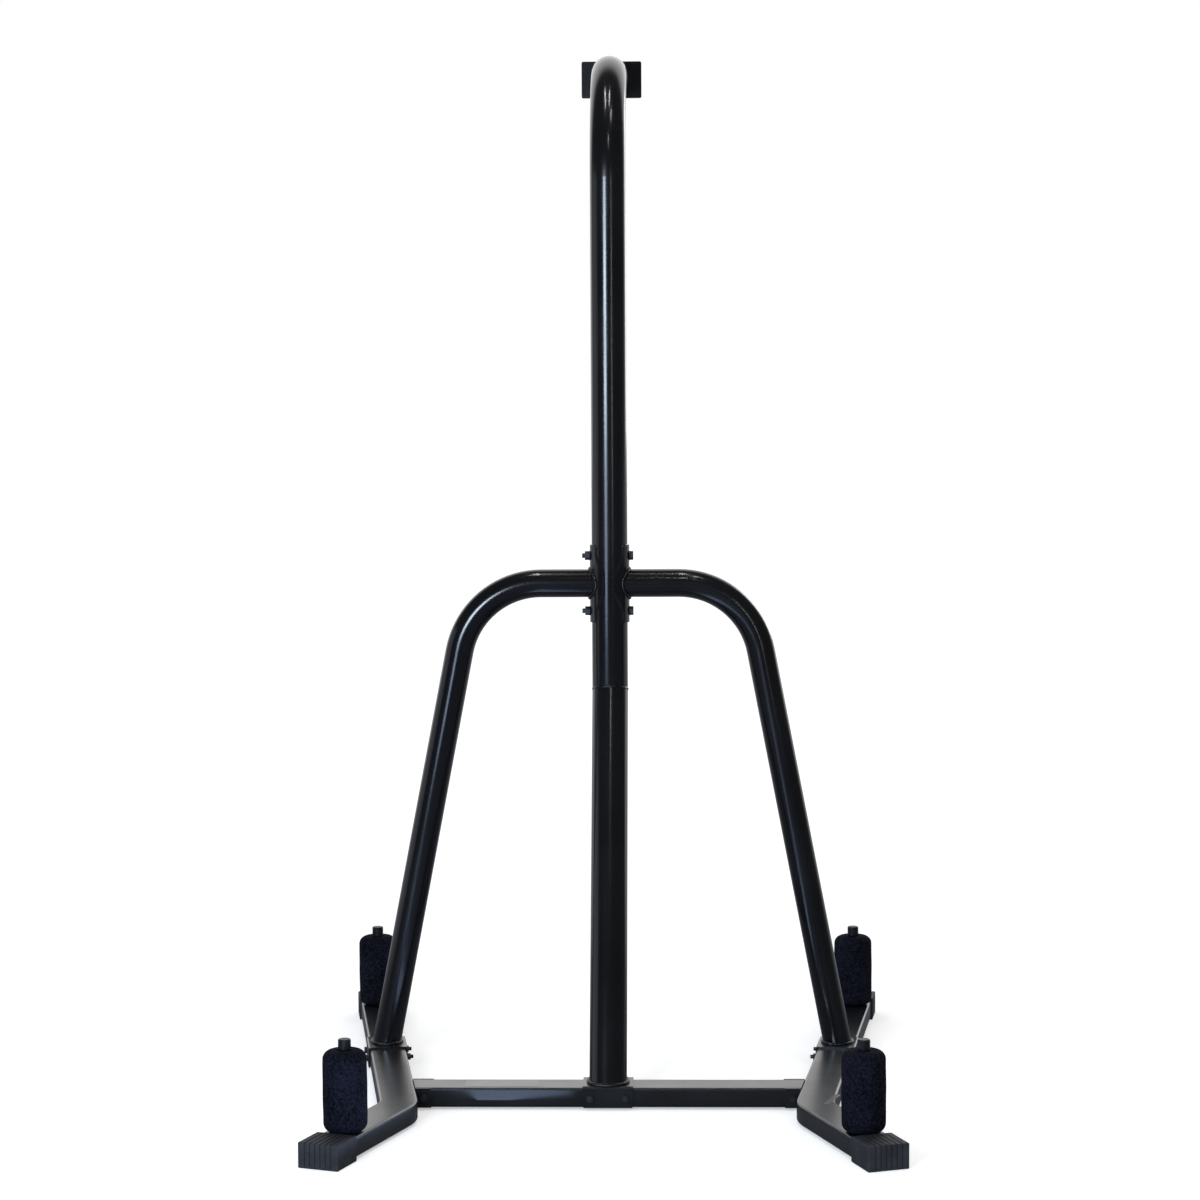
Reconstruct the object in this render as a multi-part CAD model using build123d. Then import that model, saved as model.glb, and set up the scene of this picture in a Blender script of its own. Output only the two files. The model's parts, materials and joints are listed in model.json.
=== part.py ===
"""Free-standing heavy-bag stand: bent rails, bolted cross tube, gooseneck mast, two bent braces."""
from build123d import *
from math import atan2, cos, degrees, radians, sin, tan
import os

os.makedirs("parts", exist_ok=True)

# ---------------------------------------------------------------- driving dimensions, mm
# Floor rails: rectangular tube, bent once in plan so that both ends splay outwards.
RAIL_WIDTH = 76.0
RAIL_HEIGHT = 40.0
RAIL_WALL = 3.0
RAIL_CORNER = 5.0
RAIL_BEND_X = 412.0
RAIL_BEND_Y = -148.0
RAIL_BEND_RADIUS = 110.0
REAR_SPLAY = 20.0
REAR_LENGTH = 352.0
FRONT_SPLAY = 8.3
FRONT_LENGTH = 1020.0

# Rubber caps that the rails stand on.
CAP_LENGTH = 80.0
CAP_SOLE = 5.0
CAP_SIDE = 4.0
CAP_TOP = 4.5
CAP_END = 5.0
CAP_EDGE = 2.5
CAP_GROOVES = 6
CAP_GROOVE_WIDTH = 2.5
CAP_GROOVE_DEPTH = 1.5

# U-shaped saddles: one under the mast over the cross tube, one under each brace over its rail.
SADDLE_LENGTH = 102.0
SADDLE_SHEET = 4.0
SADDLE_BOLT_SPACING = 72.0
SADDLE_BOLT_RISE = 19.0

# Brackets that hold the ends of the cross tube (same section as the rails).
BRACKET_LENGTH = 38.0
BRACKET_PLATE = 3.0
BRACKET_BOLT_INSET = 14.0

# Mast: a leaning post, a short upright socket mitred on to it, and a gooseneck tube.
MAST_DIAMETER = 76.2
MAST_WALL = 3.0
MAST_Y = 377.0
KINK_Z = 810.0
SEAM_Z = 1042.0
SPIGOT_LENGTH = 190.0
SPIGOT_CLEARANCE = 0.25
MITRE_BEAD = 5.0
BEAD_PROUD = 1.4
WELD_LEG = 6.0
WELD_SLOPE = 4.2
NECK_START = 1895.0
NECK_RADIUS = 240.0
BOOM_RISE = 2.0
BOOM_REACH = 450.0
END_PLATE_WIDTH = 135.0
END_PLATE_HEIGHT = 82.0
END_PLATE_THICKNESS = 4.0
END_PLATE_CORNER = 4.0

# Braces.
BRACE_DIAMETER = 60.0
BRACE_WALL = 2.5
BRACE_AXIS_Z = 1037.0
BRACE_CORNER_X = 294.0
BRACE_BEND_RADIUS = 178.0
BRACE_FOOT_Y = 350.0
CLAMP_HEIGHT = 165.0
CLAMP_PLATE = 4.0
CLAMP_WRAP_MIDDLE = 75.0
CLAMP_WRAP_END = 42.0
CLAMP_MIDDLE_HALF = 16.0
CLAMP_TAPER_HALF = 62.0
CLAMP_CORNER = 6.0
MAST_BOLT_OFFSET = 59.0

# Pegs and their foam sleeves.
PEG_DIAMETER = 25.0
PEG_WALL = 3.0
PEG_HEIGHT = 160.0
PEG_CAP_DIAMETER = 24.6
PEG_CAP_HEIGHT = 19.0
PEG_PLUG_LENGTH = 12.0
PEG_PLUG_CLEARANCE = 0.1
PEG_EDGE = 1.5
REAR_PEG_RUN = 239.0
FRONT_PEG_RUN = 902.0
FOAM_DIAMETER = 86.0
FOAM_HEIGHT = 158.0
FOAM_EDGE = 18.0
FOAM_CLEARANCE = 0.4

# Bag hanger.
HANGER_REACH = 385.0
SLEEVE_DIAMETER = 26.0
SLEEVE_PROUD_ABOVE = 1.4
SLEEVE_PROUD_BELOW = 4.4
STEM_DIAMETER = 12.0
STEM_CLEARANCE = 0.3
SWIVEL_CLEARANCE = 0.05
SWIVEL_DIAMETER = 34.0
SWIVEL_HEIGHT = 26.0
SWIVEL_GAP = 0.5
HANGER_HEAD_DIAMETER = 22.0
HANGER_HEAD_HEIGHT = 4.0
HANGER_HEAD_EDGE = 3.2
CHEEK_THICKNESS = 6.0
CHEEK_DROP = 26.0
CHEEK_INSET = 5.0
YOKE_EDGE = 2.0
EYE_THICKNESS = 10.0
EYE_HOLE_DIAMETER = 26.0
EYE_RING_WIDTH = 10.0
EYE_SHANK = 52.0
EYE_SIDE_GAP = 0.5
PIN_DIAMETER = 8.0
PIN_CLEARANCE = 0.05
PIN_HEAD = 3.0
PIN_HEAD_DIAMETER = 12.0
EYE_LUG_WALL = 5.5

# Fasteners: thread, across flats, head height, nut height, washer size.
M8 = dict(thread=8.0, flats=13.0, head=5.3, nut=6.5, washer=16.0, washer_thick=1.6)
M10 = dict(thread=10.0, flats=17.0, head=6.4, nut=8.4, washer=20.0, washer_thick=2.0)
M12 = dict(thread=12.0, flats=19.0, head=7.5, nut=10.4, washer=24.0, washer_thick=2.0)
BOLT_STICK_OUT = 6.0
HOLE_CLEARANCE = 0.5
HEX_CORNER = 1.11

# ---------------------------------------------------------------- levels and places that follow
RAIL_Z = CAP_SOLE
RAIL_TOP = RAIL_Z + RAIL_HEIGHT
SADDLE_TOP = RAIL_TOP + SADDLE_SHEET
MAST_RADIUS = MAST_DIAMETER / 2
CLAMP_RADIUS = MAST_RADIUS + CLAMP_PLATE
CLAMP_GAP_HALF = CLAMP_RADIUS * cos(radians(CLAMP_WRAP_MIDDLE))
BRACE_FOOT_X = RAIL_BEND_X + (BRACE_FOOT_Y - RAIL_BEND_Y) * tan(radians(FRONT_SPLAY))
HANGER_Y = MAST_Y + HANGER_REACH
BIG = 4000.0

pieces = {}


def keep(name, *solids):
    """Add solids to the node of that name."""
    pieces.setdefault(name, []).extend(solids)


def mirrored(shape):
    """The same shape on the other side of the stand."""
    return mirror(shape, about=Plane.YZ)


def keep_both(name, shape):
    """A piece on the right, and its mirror image on the left."""
    keep("right_" + name, shape)
    keep("left_" + name, mirrored(shape))


def block(x0, x1, y0, y1, z0, z1):
    """A box between two corners."""
    return Pos((x0 + x1) / 2, (y0 + y1) / 2, (z0 + z1) / 2) * Box(x1 - x0, y1 - y0, z1 - z0)


def rod(radius, z0, z1, x=0.0, y=0.0):
    """An upright round bar."""
    return Pos(x, y, (z0 + z1) / 2) * Cylinder(radius, z1 - z0)


def pipe(radius, wall, z0, z1):
    """An upright round tube on the mast's axis."""
    return rod(radius, z0, z1) - rod(radius - wall, z0 - 1, z1 + 1)


def along_x(shape):
    """Turn an upright shape so that its +Z end points along +X."""
    return Rot(0, 90, 0) * shape


def along_back(shape):
    """Turn an upright shape so that its +Z end points along -Y."""
    return Rot(90, 0, 0) * shape


def hexagon(flats, z0, z1):
    """A hexagonal prism with lightly broken corners."""
    prism = extrude(Pos(0, 0, z0) * RegularPolygon(flats / 2, 6, major_radius=False), z1 - z0)
    return prism & rod(flats / 2 * HEX_CORNER, z0, z1)


def bolt(size, grip):
    """A hex bolt along Z: its head starts at z = 0 and its shank reaches down through the grip."""
    shank = rod(size["thread"] / 2, -grip - size["nut"] - BOLT_STICK_OUT, 0)
    return shank + hexagon(size["flats"], 0, size["head"])


def nut(size, grip):
    """The nut of such a bolt, on the far face of the grip."""
    body = hexagon(size["flats"], -grip - size["nut"], -grip)
    return body - rod(size["thread"] / 2, -grip - size["nut"] - 1, -grip + 1)


def washer(size, z0):
    """A flat washer whose lower face is at z0."""
    ring = rod(size["washer"] / 2, z0, z0 + size["washer_thick"])
    return ring - rod(size["thread"] / 2, z0 - 1, z0 + size["washer_thick"] + 1)


# ---------------------------------------------------------------- right-hand rail frame
FRONT_FRAME = Location((RAIL_BEND_X, RAIL_BEND_Y, 0), (0, 0, -FRONT_SPLAY))


def rear_point(run):
    """Plan point on the rear half's centre line, measured from the bend."""
    return (RAIL_BEND_X + run * sin(radians(REAR_SPLAY)), RAIL_BEND_Y - run * cos(radians(REAR_SPLAY)))


def front_point(run):
    """Plan point on the front half's centre line, measured from the bend."""
    return (RAIL_BEND_X + run * sin(radians(FRONT_SPLAY)), RAIL_BEND_Y + run * cos(radians(FRONT_SPLAY)))


def along_rail(section, z):
    """Carry an upright section along the rail's bent centre line at height z."""
    start = rear_point(REAR_LENGTH)
    end = front_point(FRONT_LENGTH)
    path = FilletPolyline((*start, z), (RAIL_BEND_X, RAIL_BEND_Y, z), (*end, z), radius=RAIL_BEND_RADIUS)
    heading = (-sin(radians(REAR_SPLAY)), cos(radians(REAR_SPLAY)), 0)
    across = (cos(radians(REAR_SPLAY)), sin(radians(REAR_SPLAY)), 0)
    plane = Plane(origin=(*start, z), x_dir=across, z_dir=heading)
    return sweep(plane * section, path=path)


def rail():
    """One bent rectangular tube with open ends."""
    z = RAIL_Z + RAIL_HEIGHT / 2
    outer = along_rail(RectangleRounded(RAIL_WIDTH, RAIL_HEIGHT, RAIL_CORNER), z)
    bore_corner = RAIL_CORNER - RAIL_WALL
    bore = RectangleRounded(RAIL_WIDTH - 2 * RAIL_WALL, RAIL_HEIGHT - 2 * RAIL_WALL, bore_corner)
    return outer - along_rail(bore, z)


def foot_cap():
    """A ribbed rubber cap in its own frame: the tube's end is at y = 0 and points along +Y."""
    half = RAIL_WIDTH / 2 + CAP_SIDE
    height = RAIL_TOP + CAP_TOP
    inner_y = CAP_END - CAP_LENGTH
    shell = block(-half, half, inner_y, CAP_END, 0, height)
    shell = fillet(shell.edges().filter_by(Axis.Y), CAP_EDGE)
    shell = fillet(shell.faces().sort_by(Axis.Y)[-1].edges(), CAP_EDGE)
    socket = Plane(origin=(0, inner_y - 1, RAIL_Z + RAIL_HEIGHT / 2), x_dir=(-1, 0, 0), z_dir=(0, 1, 0))
    cavity = extrude(socket * RectangleRounded(RAIL_WIDTH, RAIL_HEIGHT, RAIL_CORNER), 1 - inner_y)
    shell -= cavity
    pitch = RAIL_WIDTH / (CAP_GROOVES + 1)
    for index in range(CAP_GROOVES):
        x = (index - (CAP_GROOVES - 1) / 2) * pitch
        edge = CAP_GROOVE_WIDTH / 2
        shell -= block(x - edge, x + edge, inner_y + CAP_TOP, BIG, height - CAP_GROOVE_DEPTH, BIG)
        shell -= block(x - edge, x + edge, CAP_END - CAP_GROOVE_DEPTH, BIG, CAP_SOLE, BIG)
    return shell


def make_rails():
    """Rails, their four caps, and the four pegs with foam sleeves."""
    keep_both("leg_rail", rail() - brace_foot_frame() * saddle_drills())
    ends = {
        "rear": (rear_point(REAR_LENGTH), 180 + REAR_SPLAY, rear_point(REAR_PEG_RUN)),
        "front": (front_point(FRONT_LENGTH), -FRONT_SPLAY, front_point(FRONT_PEG_RUN)),
    }
    peg_radius = PEG_DIAMETER / 2
    peg_top = RAIL_TOP + PEG_HEIGHT
    foam_z = RAIL_TOP + FOAM_CLEARANCE
    for end, (tip, turn, spot) in ends.items():
        keep_both(end + "_foot_cap", Pos(*tip, 0) * Rot(0, 0, turn) * foot_cap())
        peg = rod(peg_radius, RAIL_TOP, peg_top) - rod(peg_radius - PEG_WALL, 0, BIG)
        cap = rod(PEG_CAP_DIAMETER / 2, peg_top, peg_top + PEG_CAP_HEIGHT)
        cap = chamfer(cap.edges().group_by(Axis.Z)[-1], PEG_EDGE)
        cap += rod(peg_radius - PEG_WALL - PEG_PLUG_CLEARANCE, peg_top - PEG_PLUG_LENGTH, peg_top)
        foam = fillet(rod(FOAM_DIAMETER / 2, foam_z, foam_z + FOAM_HEIGHT).edges(), FOAM_EDGE)
        foam -= rod(peg_radius + FOAM_CLEARANCE, 0, BIG)
        keep_both(end + "_peg", Pos(*spot, 0) * peg)
        keep("peg_caps", Pos(*spot, 0) * cap, mirrored(Pos(*spot, 0) * cap))
        keep_both(end + "_foam_sleeve", Pos(*spot, 0) * foam)


def drill_back(x, z):
    """A clearance hole for an M8 bolt that runs from front to back."""
    return Pos(x, 0, z) * along_back(Cylinder(M8["thread"] / 2 + HOLE_CLEARANCE, BIG / 10))


def saddle_bolt_places():
    """Where a saddle's two bolts lie along its tube."""
    return (-SADDLE_BOLT_SPACING / 2, SADDLE_BOLT_SPACING / 2)


def saddle():
    """A U-shaped saddle in its own frame: it straddles a tube that runs along X."""
    half = SADDLE_LENGTH / 2
    outer_y = RAIL_WIDTH / 2 + SADDLE_SHEET
    body = block(-half, half, -outer_y, outer_y, RAIL_Z, SADDLE_TOP)
    body = fillet(body.edges().filter_by(Axis.X).group_by(Axis.Z)[-1], SADDLE_SHEET)
    body = fillet(body.edges().filter_by(Axis.Y).group_by(Axis.Z)[0], SADDLE_SHEET)
    body -= block(-BIG, BIG, -RAIL_WIDTH / 2, RAIL_WIDTH / 2, 0, RAIL_TOP)
    for x in saddle_bolt_places():
        body -= drill_back(x, RAIL_Z + SADDLE_BOLT_RISE)
    return body


def saddle_fasteners(maker):
    """One bolt or nut at each of a saddle's places, with the heads on its -Y side."""
    outer_y = RAIL_WIDTH / 2 + SADDLE_SHEET
    level = RAIL_Z + SADDLE_BOLT_RISE
    return [Pos(x, -outer_y, level) * along_back(maker(M8, 2 * outer_y)) for x in saddle_bolt_places()]


def saddle_drills():
    """Both bolt holes of a saddle, to be cut in the tube under it."""
    left, right = saddle_bolt_places()
    level = RAIL_Z + SADDLE_BOLT_RISE
    return drill_back(left, level) + drill_back(right, level)


def brace_foot_frame():
    """The frame of the saddle on the right rail, turned so that its tube runs along the rail."""
    return Location((BRACE_FOOT_X, BRACE_FOOT_Y, 0), (0, 0, 90 - FRONT_SPLAY))


def make_cross_tube():
    """Cross tube, the brackets on the rails that hold its ends, and their bolts."""
    beyond_rail = FRONT_FRAME * block(-RAIL_WIDTH / 2, BIG, -BIG, BIG, -1, BIG)
    centre_z = RAIL_Z + RAIL_HEIGHT / 2
    side = Plane(origin=(0, 0, centre_z), x_dir=(0, 1, 0), z_dir=(1, 0, 0))
    ring = RectangleRounded(RAIL_WIDTH, RAIL_HEIGHT, RAIL_CORNER)
    ring -= RectangleRounded(RAIL_WIDTH - 2 * RAIL_WALL, RAIL_HEIGHT - 2 * RAIL_WALL, RAIL_CORNER - RAIL_WALL)
    half = extrude(side * ring, RAIL_BEND_X + RAIL_WIDTH) - beyond_rail

    wall_x = RAIL_BEND_X - RAIL_BEND_Y * tan(radians(FRONT_SPLAY)) - RAIL_WIDTH / 2
    inner_y = RAIL_WIDTH / 2
    outer_y = inner_y + BRACKET_PLATE
    bracket = block(wall_x - BRACKET_LENGTH, RAIL_BEND_X, -outer_y, outer_y, RAIL_Z, RAIL_TOP)
    bracket -= block(0, BIG, -inner_y, inner_y, 0, BIG)
    bolt_x = wall_x - BRACKET_LENGTH + BRACKET_BOLT_INSET
    drill = drill_back(bolt_x, centre_z)
    bracket = bracket - beyond_rail - drill
    half -= drill
    keep("cross_tube", half + mirrored(half) - saddle_drills())
    keep("right_rail_bracket", *bracket.solids())
    keep("left_rail_bracket", *mirrored(bracket).solids())
    place = Pos(bolt_x, -outer_y, centre_z)
    for side_of in (lambda shape: shape, mirrored):
        keep("cross_tube_bolts", side_of(place * along_back(bolt(M8, 2 * outer_y))))
        keep("cross_tube_nuts", side_of(place * along_back(nut(M8, 2 * outer_y))))


# ---------------------------------------------------------------- mast
def lean():
    """How far the lower post leans from upright, in degrees."""
    return degrees(atan2(MAST_Y, KINK_Z - SADDLE_TOP))


def beyond_mitre(sign):
    """Everything above (1) or below (-1) the plane that halves the angle between post and socket."""
    tilt = lean() / 2
    return Location((0, MAST_Y, KINK_Z), (-tilt, 0, 0)) * Pos(0, 0, sign * BIG / 2) * Box(BIG, BIG, BIG)


def leaning(radius):
    """A solid bar along the lower post's axis, longer than the post at both ends."""
    return Rot(-lean(), 0, 0) * rod(radius, -2 * RAIL_WIDTH, KINK_Z * 1.5)


def make_mast_foot():
    """The saddle over the cross tube, its bolts, the leaning post and the weld round its base."""
    keep("mast_foot_saddle", saddle())
    keep("mast_foot_bolts", *saddle_fasteners(bolt))
    keep("mast_foot_nuts", *saddle_fasteners(nut))
    stand_on_saddle = Pos(0, 0, SADDLE_TOP)
    outer = stand_on_saddle * leaning(MAST_RADIUS)
    below_saddle = block(-BIG, BIG, -BIG, BIG, -BIG, SADDLE_TOP)
    post = outer - stand_on_saddle * leaning(MAST_RADIUS - MAST_WALL) - below_saddle - beyond_mitre(1)
    keep("lower_post", post)
    long_half = MAST_RADIUS / cos(radians(lean()))
    skirt = Pos(0, 0, SADDLE_TOP) * Ellipse(MAST_RADIUS + WELD_LEG, long_half + WELD_LEG)
    weld = chamfer(extrude(skirt, WELD_LEG).edges().group_by(Axis.Z)[-1], WELD_SLOPE)
    keep("mast_base_weld", weld - outer)


def mast_bolt_levels():
    """Heights of the two bolts that clamp the brace saddles to the mast."""
    return (BRACE_AXIS_Z - MAST_BOLT_OFFSET, BRACE_AXIS_Z + MAST_BOLT_OFFSET)


def mast_bolt_holes():
    """Clearance holes for both mast bolts, along X."""
    hole = along_x(Cylinder(M10["thread"] / 2 + HOLE_CLEARANCE, BIG / 10))
    low, high = mast_bolt_levels()
    return Pos(0, MAST_Y, low) * hole + Pos(0, MAST_Y, high) * hole


def boom_start():
    """Where the gooseneck's arc ends and the straight boom begins: y and z on its axis."""
    turn = radians(90 - BOOM_RISE)
    return MAST_Y + NECK_RADIUS * (1 - cos(turn)), NECK_START + NECK_RADIUS * sin(turn)


def boom_height(y):
    """Height of the boom's axis at the place y."""
    start_y, start_z = boom_start()
    return start_z + (y - start_y) * tan(radians(BOOM_RISE))


def mast_path(z0):
    """Axis of the upper mast: up, round the gooseneck and out along the boom."""
    start_y, start_z = boom_start()
    riser = Line((0, MAST_Y, z0), (0, MAST_Y, NECK_START))
    turn = radians(90 - BOOM_RISE) / 2
    middle = (0, MAST_Y + NECK_RADIUS * (1 - cos(turn)), NECK_START + NECK_RADIUS * sin(turn))
    neck = ThreePointArc((0, MAST_Y, NECK_START), middle, (0, start_y, start_z))
    tip_y = MAST_Y + BOOM_REACH
    boom = Line((0, start_y, start_z), (0, tip_y, boom_height(tip_y)))
    return Wire([riser, neck, boom])


def make_mast():
    """Upright socket, the bead on its mitre, the inner spigot and the gooseneck tube."""
    bolt_holes = mast_bolt_holes()
    upright = Pos(0, MAST_Y, 0)
    socket = upright * pipe(MAST_RADIUS, MAST_WALL, KINK_Z / 2, SEAM_Z) - beyond_mitre(-1)
    keep("mast_socket", socket - bolt_holes)

    across = MAST_RADIUS + BEAD_PROUD
    along = across / cos(radians(lean() / 2))
    mitre = Location((0, MAST_Y, KINK_Z), (-lean() / 2, 0, 0))
    bead = extrude(mitre * Pos(0, 0, -MITRE_BEAD / 2) * Ellipse(across, along), MITRE_BEAD)
    bead = bead - upright * rod(MAST_RADIUS, 0, SEAM_Z) - Pos(0, 0, SADDLE_TOP) * leaning(MAST_RADIUS)
    keep("mast_mitre_bead", max(bead.solids(), key=lambda solid: solid.volume))

    spigot_radius = MAST_RADIUS - MAST_WALL - SPIGOT_CLEARANCE
    low = BRACE_AXIS_Z - SPIGOT_LENGTH / 2
    spigot = upright * pipe(spigot_radius, MAST_WALL, low, low + SPIGOT_LENGTH)
    keep("mast_spigot", spigot - bolt_holes)

    path = mast_path(SEAM_Z)
    base = Plane(origin=(0, MAST_Y, SEAM_Z))
    tube = sweep(base * Circle(MAST_RADIUS), path=path)
    tube -= sweep(base * Circle(MAST_RADIUS - MAST_WALL), path=path)
    sleeve_hole = rod(SLEEVE_DIAMETER / 2, NECK_START, BIG, y=HANGER_Y)
    keep("upper_mast", tube - bolt_holes - sleeve_hole)

    tip_y = MAST_Y + BOOM_REACH
    tip = Location((0, tip_y, boom_height(tip_y)), (BOOM_RISE, 0, 0))
    half_x = END_PLATE_WIDTH / 2
    half_z = END_PLATE_HEIGHT / 2
    plate = block(-half_x, half_x, 0, END_PLATE_THICKNESS, -half_z, half_z)
    plate = fillet(plate.edges().filter_by(Axis.Y), END_PLATE_CORNER)
    keep("boom_end_plate", tip * plate)


def make_hanger():
    """Welded sleeve through the boom, hanger bolt, turning yoke, and the eye that swings in it."""
    axis_z = boom_height(HANGER_Y)
    bottom = axis_z - MAST_RADIUS - SLEEVE_PROUD_BELOW
    top = axis_z + MAST_RADIUS + SLEEVE_PROUD_ABOVE
    stem = STEM_DIAMETER / 2
    here = Pos(0, HANGER_Y, 0)
    sleeve = rod(SLEEVE_DIAMETER / 2, bottom, top) - rod(stem + STEM_CLEARANCE, 0, BIG)
    keep("hanger_sleeve", here * sleeve)

    yoke_top = bottom - SWIVEL_GAP
    yoke_bottom = yoke_top - SWIVEL_HEIGHT
    nut_bottom = yoke_bottom + CHEEK_THICKNESS
    nut_top = nut_bottom + M12["nut"]
    head_z = top + M12["washer_thick"]
    head = rod(HANGER_HEAD_DIAMETER / 2, head_z, head_z + HANGER_HEAD_HEIGHT)
    head = fillet(head.edges().group_by(Axis.Z)[-1], HANGER_HEAD_EDGE)
    keep("hanger_bolt", here * (rod(stem, nut_bottom, head_z) + head))
    keep("hanger_washer", here * washer(M12, top))
    keep("hanger_nut", here * (hexagon(M12["flats"], nut_bottom, nut_top) - rod(stem, 0, BIG)))

    yoke = fillet(rod(SWIVEL_DIAMETER / 2, yoke_bottom, yoke_top).edges(), YOKE_EDGE)
    pocket = M12["flats"] * HEX_CORNER / 2 + SWIVEL_GAP
    yoke -= rod(pocket, nut_bottom - SWIVEL_GAP, nut_top + SWIVEL_GAP)
    yoke -= rod(stem + SWIVEL_CLEARANCE, nut_top, BIG)
    cheek_inner = EYE_THICKNESS / 2 + EYE_SIDE_GAP
    cheek_outer = cheek_inner + CHEEK_THICKNESS
    cheek_half = SWIVEL_DIAMETER / 2 - CHEEK_INSET
    pin_z = yoke_bottom - CHEEK_DROP / 2
    for side in (-1, 1):
        x0, x1 = sorted((side * cheek_inner, side * cheek_outer))
        cheek = block(x0, x1, -cheek_half, cheek_half, pin_z, yoke_bottom + 1)
        cheek += Pos((x0 + x1) / 2, 0, pin_z) * along_x(Cylinder(cheek_half, x1 - x0))
        yoke += cheek
    yoke -= Pos(0, 0, pin_z) * along_x(Cylinder(PIN_DIAMETER / 2, 4 * cheek_outer))
    keep("swivel_yoke", here * yoke)

    pin = Pos(0, 0, pin_z) * along_x(Cylinder(PIN_DIAMETER / 2, 2 * cheek_outer))
    for side in (-1, 1):
        head_x = side * (cheek_outer + PIN_HEAD / 2)
        pin += Pos(head_x, 0, pin_z) * along_x(Cylinder(PIN_HEAD_DIAMETER / 2, PIN_HEAD))
    keep("swivel_pin", here * pin)

    ring_radius = EYE_HOLE_DIAMETER / 2 + EYE_RING_WIDTH
    ring_z = pin_z - EYE_SHANK
    lug_radius = PIN_DIAMETER / 2 + EYE_LUG_WALL
    eye = Pos(0, 0, ring_z) * along_x(Cylinder(ring_radius, EYE_THICKNESS))
    eye += block(-EYE_THICKNESS / 2, EYE_THICKNESS / 2, -lug_radius, lug_radius, ring_z, pin_z)
    eye += Pos(0, 0, pin_z) * along_x(Cylinder(lug_radius, EYE_THICKNESS))
    eye -= Pos(0, 0, ring_z) * along_x(Cylinder(EYE_HOLE_DIAMETER / 2, BIG / 10))
    eye -= Pos(0, 0, pin_z) * along_x(Cylinder(PIN_DIAMETER / 2 + PIN_CLEARANCE, BIG / 10))
    keep("bag_eye", here * eye)


# ---------------------------------------------------------------- braces
def mast_clamp():
    """The curved plate that hugs the right side of the mast, widest at the brace, clear of its twin."""
    low = BRACE_AXIS_Z - CLAMP_HEIGHT / 2
    shell = pipe(CLAMP_RADIUS, CLAMP_PLATE, low, low + CLAMP_HEIGHT)
    wide = CLAMP_RADIUS * sin(radians(CLAMP_WRAP_MIDDLE))
    narrow = CLAMP_RADIUS * sin(radians(CLAMP_WRAP_END))
    tall = CLAMP_HEIGHT / 2
    right = [(narrow, -tall), (narrow, -CLAMP_TAPER_HALF), (wide, -CLAMP_MIDDLE_HALF),
             (wide, CLAMP_MIDDLE_HALF), (narrow, CLAMP_TAPER_HALF), (narrow, tall)]
    left = [(-y, z) for y, z in reversed(right)]
    outline = Plane(origin=(CLAMP_GAP_HALF, 0, BRACE_AXIS_Z), x_dir=(0, 1, 0), z_dir=(1, 0, 0))
    blank = extrude(make_face(outline * Polyline(*right, *left, close=True)), BIG / 10)
    blank = fillet(blank.edges().filter_by(Axis.X), CLAMP_CORNER)
    return Pos(0, MAST_Y, 0) * (shell & blank) - mast_bolt_holes()


def brace_tube():
    """One bent tube, coped to the clamp plate at the top and cut level at the foot."""
    top = Vector(0, MAST_Y, BRACE_AXIS_Z)
    corner = Vector(BRACE_CORNER_X, MAST_Y, BRACE_AXIS_Z)
    foot = Vector(BRACE_FOOT_X, BRACE_FOOT_Y, SADDLE_TOP)
    past_foot = foot + (foot - corner).normalized() * BRACE_DIAMETER / 2
    path = FilletPolyline(top, corner, past_foot, radius=BRACE_BEND_RADIUS)
    start = Plane(origin=top, x_dir=(0, 1, 0), z_dir=(1, 0, 0))
    tube = sweep(start * Circle(BRACE_DIAMETER / 2), path=path)
    tube -= sweep(start * Circle(BRACE_DIAMETER / 2 - BRACE_WALL), path=path)
    tube -= Pos(0, MAST_Y, 0) * rod(CLAMP_RADIUS, 0, BIG)
    return tube - block(-BIG, BIG, -BIG, BIG, -BIG, SADDLE_TOP)


def make_braces():
    """Braces, the clamp plates and saddles at their ends, and every bolt that holds them."""
    keep_both("brace_tube", brace_tube())
    keep_both("mast_clamp_plate", mast_clamp())
    frame = brace_foot_frame()
    keep_both("brace_foot_saddle", frame * saddle())
    for place in saddle_fasteners(bolt):
        keep_both("brace_foot_bolts", frame * place)
    for place in saddle_fasteners(nut):
        keep_both("brace_foot_nuts", frame * place)
    seat = CLAMP_RADIUS + M10["washer_thick"]
    for level in mast_bolt_levels():
        centre = Pos(0, MAST_Y, level)
        keep("mast_bolts", centre * Pos(seat, 0, 0) * along_x(bolt(M10, 2 * seat)))
        keep("mast_bolt_nuts", centre * Pos(seat, 0, 0) * along_x(nut(M10, 2 * seat)))
        keep("mast_bolt_washers", centre * Pos(CLAMP_RADIUS, 0, 0) * along_x(washer(M10, 0)))
        keep("mast_bolt_washers", centre * Pos(-seat, 0, 0) * along_x(washer(M10, 0)))


def write_parts():
    """Centre the stand over the origin, on the floor, and write one STEP file for each node."""
    bounds = Compound([solid for group in pieces.values() for shape in group for solid in shape.solids()])
    box = bounds.bounding_box()
    shift = Pos(-(box.min.X + box.max.X) / 2, -(box.min.Y + box.max.Y) / 2, -box.min.Z)
    print("size", box.size, "shift in y", -(box.min.Y + box.max.Y) / 2)
    for name, group in pieces.items():
        solids = [shift * solid for shape in group for solid in shape.solids()]
        export_step(solids[0] if len(solids) == 1 else Compound(solids), f"parts/{name}.step")


make_rails()
make_cross_tube()
make_mast_foot()
make_mast()
make_hanger()
make_braces()
write_parts()
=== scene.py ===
"""Looks of a free-standing heavy-bag stand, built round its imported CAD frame."""

import json
import logging
import math
from dataclasses import dataclass, field
from enum import Enum
from typing import Any, Callable, Iterable, Sequence

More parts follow.
